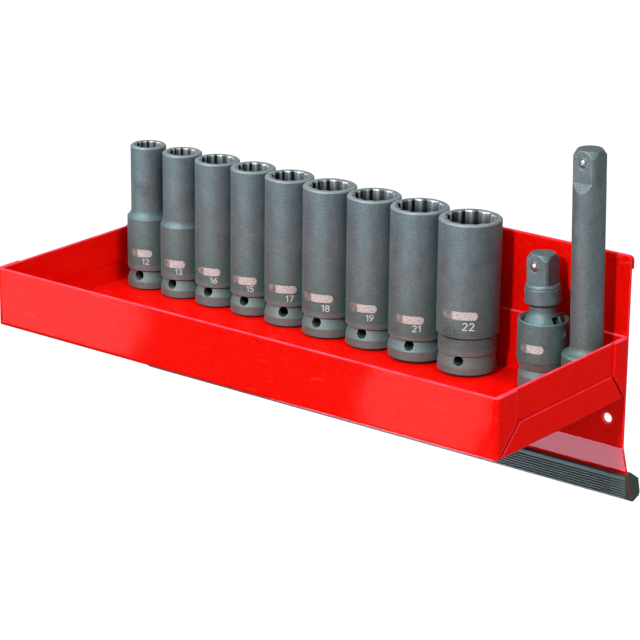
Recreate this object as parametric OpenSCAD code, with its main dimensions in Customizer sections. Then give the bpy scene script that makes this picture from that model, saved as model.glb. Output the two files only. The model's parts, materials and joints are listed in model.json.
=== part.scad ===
// Wall shelf tray in folded sheet steel with a deep impact socket set standing on it.
// Origin: midway between the two wall screw holes, on the back face of the back plate.
// X runs along the shelf, Y points to the wall, Z is up. Lengths in millimetres.

/* [Tray] */
// Width of the tray over its corner tabs
tray_w = 318; // [306:1:420]
// Depth of the tray from front face to rear face
tray_d = 114.5; // [90:0.5:200]
// Height of the tray walls from underside to rim
tray_h = 32; // [24:1:60]
// Thickness of the tray's folded sheet
sheet_t = 1.2; // [0.8:0.1:1.6]
// Outer radius of the upright corner bends
corner_r = 2.8; // [2.2:0.1:4]
// Outer radius of the bends round the tray floor
fold_r = 2.2; // [1.9:0.1:4]
// Length of the front corner tabs along the side walls
front_tab = 16; // [12:0.5:26]
// Length of the rear corner tabs along the side walls
rear_tab = 12.5; // [9:0.5:26]
// Height over the underside where a tab's free edge turns diagonal
tab_low = 14.5; // [11:0.5:20]
// Slope of the front tabs' diagonal edge, in degrees
front_tab_slope = 43; // [40:1:60]
// Slope of the rear tabs' diagonal edge, in degrees
rear_tab_slope = 52; // [48:1:62]
// Height of the raised lower band on each side wall
band_h = 15; // [8:0.5:22]
// Width of the diagonal slits between the tabs and the band
slit_w = 2.2; // [1:0.1:4]
// Gap between the side walls and the front and rear walls
fold_gap = 0.4; // [0.2:0.1:1]

/* [Back plate] */
// Width of the back plate
plate_w = 316; // [300:1:420]
// Thickness of the back plate's sheet
plate_t = 1.2; // [0.8:0.1:2]
// Height of the plate's top over the tray rim
plate_rise = 41; // [15:1:90]
// Depth of the plate's lower bend below the tray underside
plate_drop = 26.5; // [20:0.5:60]
// Radius of the plate's upper corners
plate_corner_r = 3; // [1:0.5:12]
// Height of the hem folded over at the back of the top edge
hem_h = 7; // [4:0.5:15]
// Gap inside the folded hem
hem_gap = 0.6; // [0.2:0.1:2]
// Angle of the lower flange from the plate, in degrees
flange_angle = 18; // [8:1:30]
// Length of the lower flange below its bend
flange_len = 30.5; // [22:0.5:50]
// Inner radius of the lower bend
bend_r = 1.6; // [0.8:0.1:4]
// Diameter of the wall screw holes
hole_d = 5; // [3:0.1:7]
// Depth of the screw holes below the tray underside
hole_drop = 13; // [8:0.5:20]
// Distance of each screw hole from the plate's side edge
hole_inset = 9.5; // [6:0.5:40]

/* [Edge strip] */
// How far the strip's ends stand out past the plate's
strip_over = 0.5; // [0.5:0.1:4]
// Height of the strip's front lip over the flange tip
strip_reach = 14.8; // [12:0.2:18]
// Thickness of the lips at their top
strip_lip_t = 2; // [1:0.1:2.4]
// Thickness in front of the flange near its tip
strip_foot_t = 5; // [3.6:0.1:6]
// Height of the thickest part in front over the flange tip
strip_foot_h = 2.6; // [1.5:0.1:4]
// Thickness from the flange's front face to the strip's back
strip_back_t = 9; // [6:0.2:14]
// Height of the strip's back edge over the flange tip
strip_back_h = 6.4; // [3:0.1:8]
// Rubber below the flange tip
strip_sole = 3.4; // [2.4:0.1:6]
// Radius of the strip's rounded lower back edge
strip_round = 2.4; // [0.6:0.1:2.6]
// Radius of the strip's other edges
strip_edge_r = 0.6; // [0.2:0.1:0.8]
// Pitch of the fine ribs on the strip's front
rib_pitch = 1.4; // [1.1:0.05:1.5]
// Radius of the grooves between the ribs
rib_groove_r = 0.45; // [0.2:0.05:0.5]
// Clearance between the flange and the strip's slot
slot_clear = 0.05; // [0.02:0.01:0.3]

/* [Sockets] */
// Wrench sizes across flats, from left to right
socket_af = [12, 13, 16, 15, 17, 18, 19, 21, 22]; // [10:0.5:30]
// Outer diameters at the mouth, in the same order
mouth_d = [19.4, 21.4, 24.2, 24, 26, 28.2, 28, 30, 32]; // [18:0.1:44]
// Outer diameters of the lower body, in the same order
body_d = [23.8, 24.2, 24.2, 24, 26, 28.2, 28, 30, 32]; // [22:0.1:44]
// Outer diameters of the foot ring, in the same order
foot_d = [23.8, 24.2, 24.2, 24, 26, 28.2, 28, 30.4, 30.2]; // [22:0.1:44]
// Heights of the foot ring below the groove, in the same order
foot_h = [4.6, 4.8, 6.2, 5.8, 5.3, 5.6, 5.6, 6.6, 5.1]; // [4:0.1:7]
// Heights of the groove's sharp upper edge, in the same order
groove_top = [11.2, 11.1, 11.7, 11.6, 12, 12, 11.8, 12.7, 11.4]; // [11:0.1:14]
// Heights of the cross hole's axis, in the same order
cross_high = [8.1, 8.1, 8.9, 8.8, 8.7, 8.8, 8.9, 9.8, 8.7]; // [8:0.1:10]
// Chamfers round the bottom of the foot, in the same order
foot_chamfer = [1, 1, 1.2, 1.2, 1.3, 1.4, 1.5, 2, 1.8]; // [0.6:0.1:2.4]
// How far each socket is turned on the tray floor, in degrees
socket_turn = [9, 7, 11, 13, 24, 8, 11, 18, 17]; // [-45:1:45]
// Length of the sockets
socket_len = 80; // [70:1:110]
// Height of the shoulder under the slim neck of the small sockets
shoulder_low = 40; // [34:0.5:50]
// Radius of the shoulder's hollow curve into the neck
shoulder_r = 5.9; // [3:0.1:12]
// Depth of the twelve-point opening
broach_depth = 20; // [12:1:26]
// Clearance of the twelve-point opening over the wrench size
broach_clear = 0.16; // [0.05:0.01:0.4]
// Depth of the plain bore's wall inside the opening's flats
bore_step = 0.2; // [0.1:0.05:0.6]
// Lead-in round the twelve points at the mouth
mouth_lead = 0.6; // [0.2:0.05:0.8]
// Edge chamfer at the mouth's outside
mouth_chamfer = 0.6; // [0.2:0.1:0.8]
// Height of the step over the slim lower part of the largest socket
waist_high = 21.2; // [16:0.2:30]
// Depth of that step
waist_in = 1.1; // [0.2:0.1:1.2]
// Diameter of the hole between the bore and the square recess
through_d = 10.6; // [8:0.2:10.8]
// Height of the web between the bore and the square recess
web_h = 2.5; // [1.5:0.1:5]

/* [Drive ends] */
// Side of the square drive recess
recess_side = 12.8; // [12.7:0.01:13]
// Depth of the square drive recess
recess_depth = 16; // [12:0.5:18]
// Lead-in at the square recess
recess_lead = 0.7; // [0.3:0.1:1.2]
// Depth of the retaining groove
groove_in = 1.8; // [0.6:0.1:2]
// Height of the groove's narrowest part
groove_band = 0.6; // [0.2:0.1:2]
// Diameter of the cross hole
cross_d = 5.3; // [4:0.1:6]

/* [Square drives] */
// Side of the square drive plug
plug_side = 12.7; // [12.4:0.01:12.75]
// Diameter over the plug's rounded corners
plug_corner_d = 16.4; // [15.6:0.1:17.4]
// Diameter of the flat end of the plug
plug_tip_d = 12.4; // [11:0.1:12.6]
// Height of the chamfer round the plug's end
plug_chamfer_h = 2.9; // [1.5:0.1:4]
// Diameter of the detent ball
ball_d = 5.4; // [4.6:0.02:5.8]
// How far the detent ball stands proud
ball_proud = 1.15; // [0.6:0.05:1.3]
// Depth of the detent ball's axis below the plug's end
ball_below = 6.2; // [5:0.1:8]
// Radial clearance of the ball in its hole
ball_clear = 0.05; // [0.02:0.01:0.1]
// Depth of the detent hole from the plug's face
detent_depth = 10; // [9:0.1:11]
// Radius of the staked lip that keeps the ball in
lip_r = 2.42; // [2.38:0.01:2.6]
// Depth of the staked lip
lip_depth = 0.2; // [0.1:0.02:0.25]
// Radius of the staking groove round the ball
stake_r = 3.3; // [3.1:0.05:3.8]
// Width of the staking groove
stake_w = 0.35; // [0.2:0.05:0.6]
// Depth of the staking groove
stake_depth = 0.2; // [0.1:0.05:0.4]
// Wire diameter of the detent springs
wire_d = 0.5; // [0.3:0.05:0.55]
// Mean radius of the detent springs
coil_r = 1.85; // [1.5:0.05:2]
// Curls in each detent spring
coil_curls = 5; // [3:1:5]
// Clearance at each end of the detent springs
coil_clear = 0.04; // [0.02:0.01:0.1]

/* [Universal joint] */
// Diameter of the cup
cup_d = 25.6; // [25:0.1:28]
// Diameter of the cup's foot ring
cup_foot_d = 23.7; // [23:0.1:27]
// Height of the cup's foot ring
cup_foot_h = 6.8; // [5:0.1:7.5]
// Height of the sharp upper edge of the cup's groove
cup_groove_top = 11.2; // [10.8:0.1:13]
// Depth of the cup's groove
cup_groove_in = 1.2; // [0.5:0.1:1.4]
// Height where the cup's tapered lower end meets its full diameter
cup_taper_top = 15.4; // [13.5:0.1:19]
// Height of the cup's cross hole
cup_cross_high = 8.6; // [8:0.1:10]
// Chamfer round the bottom of the cup's and the bar's foot
drive_chamfer = 1; // [0.4:0.1:1.6]
// How far the cup and its pin are turned on the tray floor, in degrees
cup_turn = -9; // [-20:1:20]
// Height of the cup's rim
cup_h = 35.7; // [34:0.1:44]
// Height of the swivel centre below the rim
swivel_below = 5; // [4.5:0.1:6]
// Radius of the ball end
ball_end_r = 10.35; // [9.5:0.05:10.6]
// Running gap round the ball end
ball_end_gap = 0.35; // [0.3:0.05:0.6]
// Width of the chamfer inside the rim
rim_chamfer = 1.4; // [0.8:0.1:1.6]
// Diameter of the cross pin
pin_d = 5; // [4:0.1:5.4]
// Radial running clearance of the pin in the cup
pin_clear = 0.05; // [0.02:0.01:0.1]
// How far the pin's ends sit inside the cup's surface
pin_inset = 0.3; // [0.1:0.1:1]
// Clearance of the ball end's slot on each side of the pin
slot_side = 0.1; // [0.05:0.01:0.2]
// Tilt that the slot in the ball end allows, in degrees
slot_tilt = 26; // [20:1:30]
// Diameter of the neck over the ball end
neck_d = 13.8; // [12:0.2:15]
// Radius of the fillet between the neck and the ball end
neck_fillet = 4; // [2:0.2:6]
// Height of the collar's underside
collar_low = 43; // [42:0.2:54]
// Height of the collar's top
collar_top = 53.6; // [52:0.2:66]
// Diameter of the collar
collar_d = 18.4; // [17.8:0.1:22]
// Chamfers of the collar
collar_chamfer = 1.1; // [0.5:0.1:1.6]
// Depth of the fine ring turned below the collar's top
ring_in = 0.35; // [0.1:0.05:0.6]
// Length of the head's square drive over its collar
head_plug_len = 15.2; // [13.4:0.1:26]
// How far the head leans to the left on its pin, in degrees
head_lean = 3; // [-8:0.5:8]
// How far the head's detent ball sits to the left of its face's middle
ball_aside = 1; // [0:0.1:1.6]

/* [Extension bar] */
// Length of the bar
bar_len = 126; // [100:1:250]
// Diameter of the bar's shank
shank_d = 16.4; // [16:0.1:19]
// Diameter of the bar's drive end
bar_end_d = 24.6; // [24:0.1:28]
// Height of the bar's foot ring
bar_foot_h = 5.4; // [4:0.1:7]
// Height of the sharp upper edge of the bar's groove
bar_groove_top = 12.2; // [11.8:0.1:14]
// Height of the bar's cross hole
bar_cross_high = 9.2; // [8:0.1:10]
// Height of the drive end's full diameter
bar_end_h = 22; // [19:0.5:30]
// Height of the cone above the drive end
bar_cone_h = 5; // [3:0.5:10]
// Radius of the fillet between cone and shank
bar_fillet = 4; // [2:0.5:8]
// Length of the bar's square plug
bar_plug_len = 16; // [14:0.5:20]
// Height of the run-outs below the plug's four flats
run_out = 4.8; // [2:0.2:8]
// How far the bar is turned on the tray floor, in degrees
bar_turn = 0; // [-20:1:20]
// How far the bar leans where its foot rides up on the tray's folds, in degrees
bar_lean = 1.3; // [0:0.1:2]
// Direction in which the bar leans, from +X, in degrees
lean_way = -135; // [-180:5:-90]

/* [Layout] */
// Gap between neighbouring sockets on the tray floor
socket_gap = 0.4; // [0.3:0.1:3]
// Gap between the first socket and the left wall
left_gap = 3.7; // [0.4:0.1:5]
// Gap behind everything that stands on the floor
rear_gap = 0.4; // [0.3:0.1:5]
// Gap between the bar and the right wall
right_gap = 0.4; // [0.3:0.1:5]
// Gap between the universal joint and the bar
joint_gap = 0.75; // [0.75:0.05:5]

/* [Hidden] */
$fn = 72;
// Overrun of every cut
over = 1;

paint_red = [0.86, 0.05, 0.04];
steel_grey = [0.36, 0.39, 0.40];
bright_steel = [0.80, 0.81, 0.82];
rubber_grey = [0.25, 0.29, 0.27];

inner_w = tray_w - 4 * sheet_t;
strip_len = plate_w + 2 * strip_over;
tray_front = -plate_t - tray_d;
floor_top = hole_drop + sheet_t;
rear_line = -plate_t - sheet_t - rear_gap;
plate_top = hole_drop + tray_h + plate_rise;
bend_z = hole_drop - plate_drop;
hole_x = plate_w / 2 - hole_inset;

// Widest radius of each socket, and where its axis stands
socket_r = [for (i = [0:len(socket_af) - 1]) max(body_d[i], foot_d[i], mouth_d[i]) / 2];
function socket_x(i) = i == 0 ? -inner_w / 2 + left_gap + socket_r[0]
                              : socket_x(i - 1) + socket_r[i - 1] + socket_gap + socket_r[i];
function socket_y(i) = rear_line - socket_r[i];
bar_x = inner_w / 2 - right_gap - bar_end_d / 2;
bar_y = rear_line - bar_end_d / 2;
joint_y = rear_line - cup_d / 2;
joint_reach = (bar_end_d + cup_d) / 2 + joint_gap;
joint_x = bar_x - sqrt(joint_reach * joint_reach - (bar_y - joint_y) * (bar_y - joint_y));
joint_h = collar_top + head_plug_len;
swivel_z = cup_h - swivel_below;
ball_in = ball_d / 2 - ball_proud;
pocket_r = ball_end_r + ball_end_gap;
pin_len = cup_d - 2 * pin_inset;

// Tray frame: x centred, y from the front face, z from the underside
module on_tray() {
    translate([0, tray_front, hole_drop]) children();
}

// Outline with its two lower corners rounded, drawn from the lower left corner
module trough(w, h, r) {
    translate([0, r]) square([w, h - r]);
    translate([r, 0]) square([w - 2 * r, r]);
    for (x = [r, w - r]) translate([x, r]) circle(r);
}

// Folded channel: a floor with a wall at each end and rounded rims
module channel(w, h, r, t) {
    difference() {
        trough(w, h - t / 2, r);
        translate([t, t]) trough(w - 2 * t, h, r - t);
    }
    for (x = [t / 2, w - t / 2]) translate([x, h - t / 2]) circle(t / 2);
}

// Extrudes a (y, z) outline along X, centred
module along_x(length) {
    rotate([90, 0, 90]) linear_extrude(length, center = true) children();
}

// Region above the diagonal lower edge of a corner tab, in (y, z) from the tab's own wall
module above_diagonal(tab, slope, shift) {
    lift = shift / cos(slope);
    foot = tab - tab_low / tan(slope);
    polygon([[-over, -tan(slope) * (foot + over) - lift], [tab, tab_low - lift],
             [tab, tray_h + over], [-over, tray_h + over]]);
}

// One upright corner of the tray with its tab, at the +X end of the front wall
module corner(tab, slope) {
    intersection() {
        union() {
            translate([tray_w / 2 - corner_r, corner_r, 0]) {
                intersection() {
                    difference() {
                        cylinder(r = corner_r, h = tray_h - sheet_t / 2);
                        translate([0, 0, -over]) cylinder(r = corner_r - sheet_t, h = tray_h + over);
                    }
                    translate([0, -corner_r, 0]) cube([corner_r, corner_r, tray_h]);
                }
                translate([0, 0, tray_h - sheet_t / 2]) rotate([0, 0, -90])
                    rotate_extrude(angle = 90) translate([corner_r - sheet_t / 2, 0]) circle(sheet_t / 2);
            }
            translate([tray_w / 2 - sheet_t, corner_r, 0])
                cube([sheet_t, tab - corner_r, tray_h - sheet_t / 2]);
            translate([tray_w / 2 - sheet_t / 2, corner_r, tray_h - sheet_t / 2])
                rotate([-90, 0, 0]) cylinder(r = sheet_t / 2, h = tab - corner_r);
        }
        along_x(tray_w + over) above_diagonal(tab, slope, 0);
        along_x(tray_w + over) trough(tray_d, tray_h + over, fold_r);
    }
}

// Outline of the raised band in (y, z), drawn in by inset on its upper three sides
module band_outline(inset) {
    top = band_h - inset;
    front = front_tab - tab_low / tan(front_tab_slope) + (slit_w + inset) / sin(front_tab_slope);
    rear = rear_tab - tab_low / tan(rear_tab_slope) + (slit_w + inset) / sin(rear_tab_slope);
    polygon([[front - over / tan(front_tab_slope), -over], [front + top / tan(front_tab_slope), top],
             [tray_d - rear - top / tan(rear_tab_slope), top],
             [tray_d - rear + over / tan(rear_tab_slope), -over]]);
}

// Side wall at +X: a full inner sheet, and the lower band pressed outwards
module side_wall() {
    wall_y = sheet_t + fold_gap;
    wall_len = tray_d - 2 * wall_y;
    inner_x = tray_w / 2 - 2 * sheet_t;
    difference() {
        union() {
            translate([inner_x, wall_y, sheet_t / 2]) cube([sheet_t, wall_len, tray_h - sheet_t]);
            translate([inner_x + sheet_t / 2, wall_y, tray_h - sheet_t / 2])
                rotate([-90, 0, 0]) cylinder(r = sheet_t / 2, h = wall_len);
        }
        translate([inner_x + sheet_t / 2, 0, 0]) along_x(sheet_t + over) band_outline(sheet_t);
    }
    intersection() {
        translate([-tray_w / 2, tray_d, 0]) rotate([90, 0, 0])
            linear_extrude(tray_d) channel(tray_w, tray_h, fold_r, sheet_t);
        translate([tray_w / 2, 0, 0]) along_x(2 * fold_r + over) band_outline(0);
    }
}

module tray() color(paint_red) on_tray() {
    along_x(tray_w - 2 * corner_r) channel(tray_d, tray_h, fold_r, sheet_t);
    translate([-tray_w / 2 + fold_r, fold_r, 0]) cube([tray_w - 2 * fold_r, tray_d - 2 * fold_r, sheet_t]);
    for (side = [0, 1]) mirror([side, 0, 0]) {
        side_wall();
        corner(front_tab, front_tab_slope);
        translate([0, tray_d, 0]) mirror([0, 1, 0]) corner(rear_tab, rear_tab_slope);
    }
}

// Section of the back plate in (y, z): hem, and below it web, lower bend and flange in one outline
bend_steps = 6;
function bend_arc(r) = [for (k = [0:bend_steps])
    [bend_r - r * cos(flange_angle * k / bend_steps), bend_z - r * sin(flange_angle * k / bend_steps)]];
function backwards(v) = [for (k = [len(v) - 1:-1:0]) v[k]];

module plate_section() {
    hem_r = plate_t + hem_gap / 2;
    outer = bend_arc(bend_r + plate_t);
    inner = bend_arc(bend_r);
    down = flange_len * [sin(flange_angle), -cos(flange_angle)];
    tip = [outer[bend_steps] + down, inner[bend_steps] + down];
    polygon(concat([[-plate_t, plate_top - hem_r]], outer, tip, backwards(inner),
                   [[0, plate_top - hem_r]]));
    translate([hem_gap, plate_top - hem_h]) square([plate_t, hem_h - hem_r]);
    translate([hem_gap / 2, plate_top - hem_r]) difference() {
        circle(hem_r);
        circle(hem_gap / 2);
        translate([-hem_r - over, -hem_r - over]) square([2 * (hem_r + over), hem_r + over]);
    }
}

// Front outline of the back plate in (x, z)
module plate_outline() {
    low = bend_z - flange_len - over;
    r = plate_corner_r;
    translate([-plate_w / 2, low]) square([plate_w, plate_top - r - low]);
    translate([-plate_w / 2 + r, low]) square([plate_w - 2 * r, plate_top - low]);
    for (x = [-plate_w / 2 + r, plate_w / 2 - r]) translate([x, plate_top - r]) circle(r);
}

module back_plate() color(paint_red) difference() {
    intersection() {
        along_x(plate_w) plate_section();
        translate([0, flange_len, 0]) rotate([90, 0, 0]) linear_extrude(2 * flange_len) plate_outline();
    }
    for (x = [-hole_x, hole_x]) translate([x, over, 0])
        rotate([90, 0, 0]) cylinder(d = hole_d, h = plate_t + 2 * over);
}

// Points of an outline whose corners [x, y, radius] are rounded
function unit(v) = v / norm(v);
function corner_arc(a, b, c, steps = 6) =
    let (p = [b[0], b[1]], u = unit([a[0], a[1]] - p), v = unit([c[0], c[1]] - p),
         half = acos(u * v) / 2, m = p + unit(u + v) * b[2] / sin(half),
         s = p + u * b[2] / tan(half) - m, e = p + v * b[2] / tan(half) - m,
         first = atan2(s[1], s[0]), swing = atan2(s[0] * e[1] - s[1] * e[0], s * e))
        [for (k = [0:steps]) m + b[2] * [cos(first + swing * k / steps), sin(first + swing * k / steps)]];
function rounded(c) =
    [for (i = [0:len(c) - 1]) each corner_arc(c[(i + len(c) - 1) % len(c)], c[i], c[(i + 1) % len(c)])];

// Section of the edge strip, drawn on the flange: x behind its front face, y up from its tip
module strip_section() {
    face = [strip_lip_t - strip_foot_t, strip_foot_h - strip_reach];
    difference() {
        polygon(rounded([
            [-strip_lip_t, strip_reach, strip_edge_r], [-strip_foot_t, strip_foot_h, 2 * strip_edge_r],
            [plate_t, -strip_sole, strip_round], [strip_back_t - strip_edge_r, -strip_sole, strip_round],
            [strip_back_t, strip_back_h, strip_edge_r],
            [plate_t + strip_lip_t, strip_reach - strip_lip_t / 2, strip_edge_r]]));
        translate([-slot_clear, -slot_clear]) square([plate_t + 2 * slot_clear, strip_reach + over]);
        for (k = [0:6]) translate([-strip_foot_t, strip_foot_h] - unit(face) * (k + 1) * rib_pitch)
            circle(rib_groove_r);
    }
}

module edge_strip() color(rubber_grey) along_x(strip_len)
    translate([bend_r, bend_z]) rotate(flange_angle) translate([-bend_r - plate_t, -flange_len])
        strip_section();

// Radial outline of a drive end: foot ring, cone up to the groove, and the groove's sharp upper edge
function drive_end(r_foot, chamfer, ring_h, r_body, depth, edge_h) = [
    [0, 0], [r_foot - chamfer, 0], [r_foot, chamfer], [r_foot, ring_h],
    [r_body - depth, edge_h - groove_band], [r_body - depth, edge_h], [r_body, edge_h]];

// Square recess with its lead-in, and the cross hole along X at a height, cut upwards from the foot
module drive_recess(high) {
    translate([-recess_side / 2, -recess_side / 2, -over])
        cube([recess_side, recess_side, recess_depth + over]);
    translate([0, 0, -over]) cylinder(r1 = recess_side / 2 + recess_lead + over, r2 = recess_side / 2,
                                      h = recess_lead + over);
    translate([0, 0, high]) rotate([0, 90, 0]) cylinder(d = cross_d, h = 2 * bar_end_d, center = true);
}

// Twelve-point opening for a wrench size, cut down from z = 0
module twelve_point(af) {
    points_r = (af + broach_clear) / 2 / cos(30);
    lead_h = 2 * mouth_lead;
    for (turn = [0, 30]) rotate(turn) {
        translate([0, 0, -broach_depth]) cylinder(r = points_r, h = broach_depth + over, $fn = 6);
        translate([0, 0, -lead_h])
            cylinder(r1 = points_r - mouth_lead, r2 = points_r + mouth_lead + over,
                     h = lead_h + over, $fn = 6);
    }
}

// Socket i standing on its drive end at the origin
module socket_body(i) {
    r_body = body_d[i] / 2;
    r_mouth = mouth_d[i] / 2;
    r_bore = socket_af[i] / 2 - bore_step;
    slim = i == len(socket_af) - 1 ? waist_in : 0;
    waist = slim == 0 ? [] : [[r_body - slim, waist_high - slim], [r_body, waist_high]];
    hollow = shoulder_r - r_body + r_mouth;
    neck_low = shoulder_low + sqrt(shoulder_r * shoulder_r - hollow * hollow);
    shoulder = r_mouth == r_body ? [] : [[r_body, neck_low], [r_mouth, neck_low]];
    drive = drive_end(foot_d[i] / 2, foot_chamfer[i], foot_h[i],
                      r_body - slim, groove_in - slim, groove_top[i]);
    mouth = [[r_mouth, socket_len - mouth_chamfer], [r_mouth - mouth_chamfer, socket_len],
             [0, socket_len]];
    difference() {
        rotate_extrude() difference() {
            polygon(concat(drive, waist, shoulder, mouth));
            if (r_mouth < r_body) translate([r_mouth + shoulder_r, neck_low]) circle(shoulder_r);
        }
        rotate(90) drive_recess(cross_high[i]);
        translate([0, 0, socket_len]) twelve_point(socket_af[i]);
        cylinder(d = through_d, h = socket_len);
        translate([0, 0, recess_depth + web_h]) cylinder(r1 = through_d / 2, r2 = r_bore, h = r_bore / 4);
        translate([0, 0, recess_depth + web_h + r_bore / 4]) cylinder(r = r_bore, h = socket_len);
    }
}

// Socket i in its place on the tray floor
module socket(i) color(steel_grey)
    translate([socket_x(i), socket_y(i), floor_top]) rotate(socket_turn[i]) socket_body(i);

// Turned outline of a square plug, from z = low up to its chamfered end
module plug_blank(low, length) {
    corner_r = plug_corner_d / 2;
    rotate_extrude() polygon([[0, low], [corner_r, low], [corner_r, length - plug_chamfer_h],
                              [plug_tip_d / 2, length], [0, length]]);
}

// Cutter for the plug's four flats from z = 0 up, with sloping run-outs below
module plug_flats(length, run) {
    deep = plug_corner_d;
    for (turn = [0:90:270]) rotate(turn) rotate([90, 0, 0]) linear_extrude(2 * plug_side, center = true)
        polygon([[plug_side / 2, 0], [plug_side / 2 + deep, -run * deep / (plug_corner_d - plug_side) * 2],
                 [plug_side / 2 + deep, length + over], [plug_side / 2, length + over]]);
}

// Detent hole, its staked lip and staking groove, on a plug face at y = -plug_side / 2
module detent_hole() {
    rotate([90, 0, 0]) {
        translate([0, 0, plug_side / 2 - detent_depth])
            cylinder(r = ball_d / 2 + ball_clear, h = detent_depth - lip_depth);
        translate([0, 0, plug_side / 2 - lip_depth - over / 2]) cylinder(r = lip_r, h = lip_depth + over);
        translate([0, 0, plug_side / 2 - stake_depth]) difference() {
            cylinder(r = stake_r, h = stake_depth + over);
            translate([0, 0, -over]) cylinder(r = stake_r - stake_w, h = stake_depth + 3 * over);
        }
    }
}

module detent_ball() {
    translate([0, -plug_side / 2 + ball_in, 0]) sphere(d = ball_d);
}

// Coil spring from the bottom of the detent hole to the back of the ball, along Y
coil_rings = 8;
coil_sides = 6;
ball_seat = ball_d / 2 + wire_d / 2;
coil_front = -plug_side / 2 + ball_in + sqrt(ball_seat * ball_seat - coil_r * coil_r) + coil_clear;
coil_back = -plug_side / 2 + detent_depth - wire_d / 2 - coil_clear;
coil_last = coil_curls * coil_rings;
coil_path = [for (k = [0:coil_last])
    let (turn = 360 * k / coil_rings, y = coil_front + (coil_back - coil_front) * k / coil_last)
        [coil_r * cos(turn), y, coil_r * sin(turn)]];
coil_gap = min([for (a = [0:len(coil_path) - 1], b = [0:len(coil_path) - 1])
    if (b > a + coil_rings / 2) norm(coil_path[a] - coil_path[b])]) - wire_d;
echo("least gap between curls of a detent spring", coil_gap);

module detent_spring() {
    last = len(coil_path) - 1;
    rings = [for (k = [0:last])
        let (turn = 360 * k / coil_rings, radial = [cos(turn), 0, sin(turn)],
             ahead = coil_path[min(k + 1, last)] - coil_path[max(k - 1, 0)],
             side = cross(radial, ahead) / norm(cross(radial, ahead)))
            [for (s = [0:coil_sides - 1]) coil_path[k] + wire_d / 2
                * (radial * cos(360 * s / coil_sides) + side * sin(360 * s / coil_sides))]];
    points = [for (ring = rings) for (p = ring) p];
    skin = [for (k = [0:last - 1], s = [0:coil_sides - 1])
        let (a = k * coil_sides + s, b = k * coil_sides + (s + 1) % coil_sides)
            each [[a, b, b + coil_sides], [a, b + coil_sides, a + coil_sides]]];
    first_cap = [for (s = [1:coil_sides - 2]) [0, s + 1, s]];
    end = last * coil_sides;
    last_cap = [for (s = [1:coil_sides - 2]) [end, end + s, end + s + 1]];
    polyhedron(points, concat(skin, first_cap, last_cap));
}

module at_joint() {
    translate([joint_x, joint_y, floor_top]) rotate(cup_turn) children();
}

// Frame of the drive head, which leans about the axis across its pin
module at_head() {
    at_joint() translate([0, 0, swivel_z]) rotate([0, -head_lean, 0])
        translate([0, 0, -swivel_z]) children();
}

// Frame of a detent at a height on a plug
module at_detent(high, aside) {
    translate([-aside, 0, high]) children();
}

module joint_cup() color(steel_grey) at_joint() difference() {
    rotate_extrude() polygon(concat(
        drive_end(cup_foot_d / 2, drive_chamfer, cup_foot_h, cup_foot_d / 2, cup_groove_in, cup_groove_top),
        [[cup_d / 2, cup_taper_top], [cup_d / 2, cup_h - mouth_chamfer],
         [cup_d / 2 - mouth_chamfer / 2, cup_h], [0, cup_h]]));
    drive_recess(cup_cross_high);
    translate([0, 0, swivel_z]) {
        sphere(pocket_r);
        cylinder(r = pocket_r, h = swivel_below + over);
        rotate([0, 90, 0]) cylinder(r = pin_d / 2 + pin_clear, h = 2 * cup_d, center = true);
    }
    translate([0, 0, cup_h - rim_chamfer])
        cylinder(r1 = pocket_r, r2 = pocket_r + rim_chamfer + over, h = rim_chamfer + over);
}

module joint_cross_pin() color(bright_steel) at_joint()
    translate([0, 0, swivel_z]) rotate([0, 90, 0]) cylinder(d = pin_d, h = pin_len, center = true);

// Slot through the ball end: as wide as the pin along Y, flared up and down towards its ends
module pin_slot() {
    half = pin_d / 2 / cos(slot_tilt) + slot_side;
    flare = half + 2 * ball_end_r * tan(slot_tilt);
    slot_w = pin_d + 2 * slot_side;
    rotate([90, 0, 0]) linear_extrude(slot_w, center = true) polygon([
        [0, half], [2 * ball_end_r, flare], [2 * ball_end_r, -flare],
        [0, -half], [-2 * ball_end_r, -flare], [-2 * ball_end_r, flare]]);
}

// Neck with the fillet that runs into the ball end
module head_neck() {
    centre_r = neck_d / 2 + neck_fillet;
    rise = sqrt(pow(ball_end_r + neck_fillet, 2) - centre_r * centre_r);
    touch = ball_end_r / (ball_end_r + neck_fillet);
    top = collar_low + collar_chamfer - swivel_z;
    rotate_extrude() translate([0, swivel_z]) difference() {
        polygon([[0, 0], [centre_r * touch, rise * touch], [centre_r * touch, rise],
                 [neck_d / 2, rise], [neck_d / 2, top], [0, top]]);
        translate([centre_r, rise]) circle(neck_fillet);
    }
}

module joint_drive_head() color(steel_grey) at_head() difference() {
    union() {
        difference() {
            union() {
                translate([0, 0, swivel_z]) sphere(ball_end_r);
                head_neck();
            }
            translate([0, 0, swivel_z]) pin_slot();
        }
        rotate_extrude() polygon([
            [0, collar_low], [collar_d / 2 - collar_chamfer, collar_low],
            [collar_d / 2, collar_low + collar_chamfer], [collar_d / 2, collar_top - 2 * collar_chamfer],
            [collar_d / 2 - ring_in, collar_top - 2 * collar_chamfer],
            [collar_d / 2 - ring_in, collar_top - collar_chamfer],
            [collar_d / 2 - ring_in - collar_chamfer / 2, collar_top], [0, collar_top]]);
        difference() {
            plug_blank(collar_low + collar_chamfer, joint_h);
            rotate(-cup_turn) translate([0, 0, collar_top]) plug_flats(head_plug_len, 0);
        }
    }
    rotate(-cup_turn) at_detent(joint_h - ball_below, ball_aside) detent_hole();
}

module joint_detent_ball() color(bright_steel) at_head()
    rotate(-cup_turn) at_detent(joint_h - ball_below, ball_aside) detent_ball();

module joint_detent_spring() color(bright_steel) at_head()
    rotate(-cup_turn) at_detent(joint_h - ball_below, ball_aside) detent_spring();

// Frame of the bar, which leans over the edge of its foot
module at_bar() {
    edge = bar_end_d / 2 - drive_chamfer;
    translate([bar_x, bar_y, floor_top]) rotate(lean_way) translate([edge, 0, 0]) rotate([0, bar_lean, 0])
        translate([-edge, 0, 0]) rotate(bar_turn - lean_way) children();
}

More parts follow.
